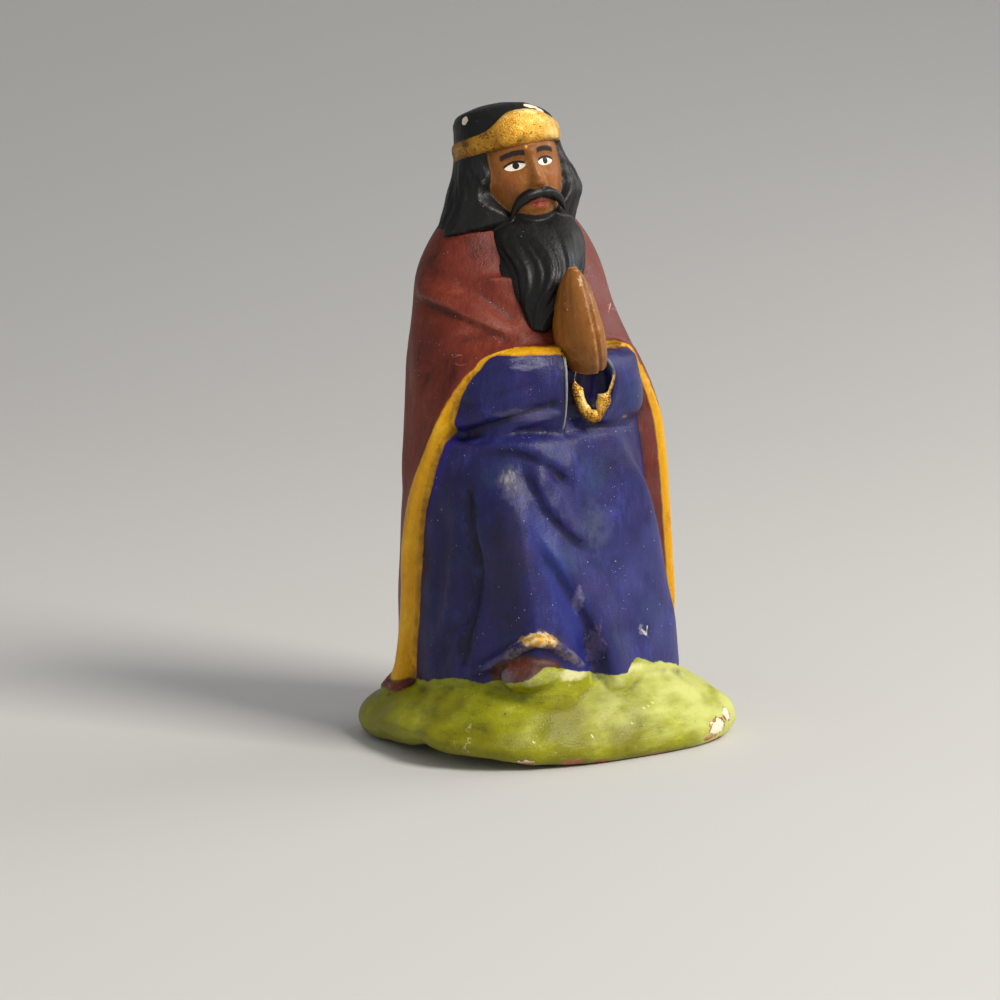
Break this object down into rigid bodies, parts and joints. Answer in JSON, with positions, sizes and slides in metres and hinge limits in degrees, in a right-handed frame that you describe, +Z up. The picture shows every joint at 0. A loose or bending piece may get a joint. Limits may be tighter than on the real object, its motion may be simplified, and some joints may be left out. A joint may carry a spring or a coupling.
{
  "type": "nativity figure",
  "caption": "Small painted clay crib figure of a bearded, robed king kneeling in prayer on a rounded grassy mound, moulded in one piece.",
  "frame": {"origin": "on the flat underside, below the middle of the mound", "axes": "+Z up through the head; the king faces -Y, so the king's left hand is on the +X side"},
  "size_m": [0.0344, 0.0281, 0.0598],
  "materials": {
    "painted_clay": "matt brushed paint on fired clay, with worn gilding"
  },
  "bodies": {
    "root": {"figure": "painted_clay"}
  },
  "joints": []
}
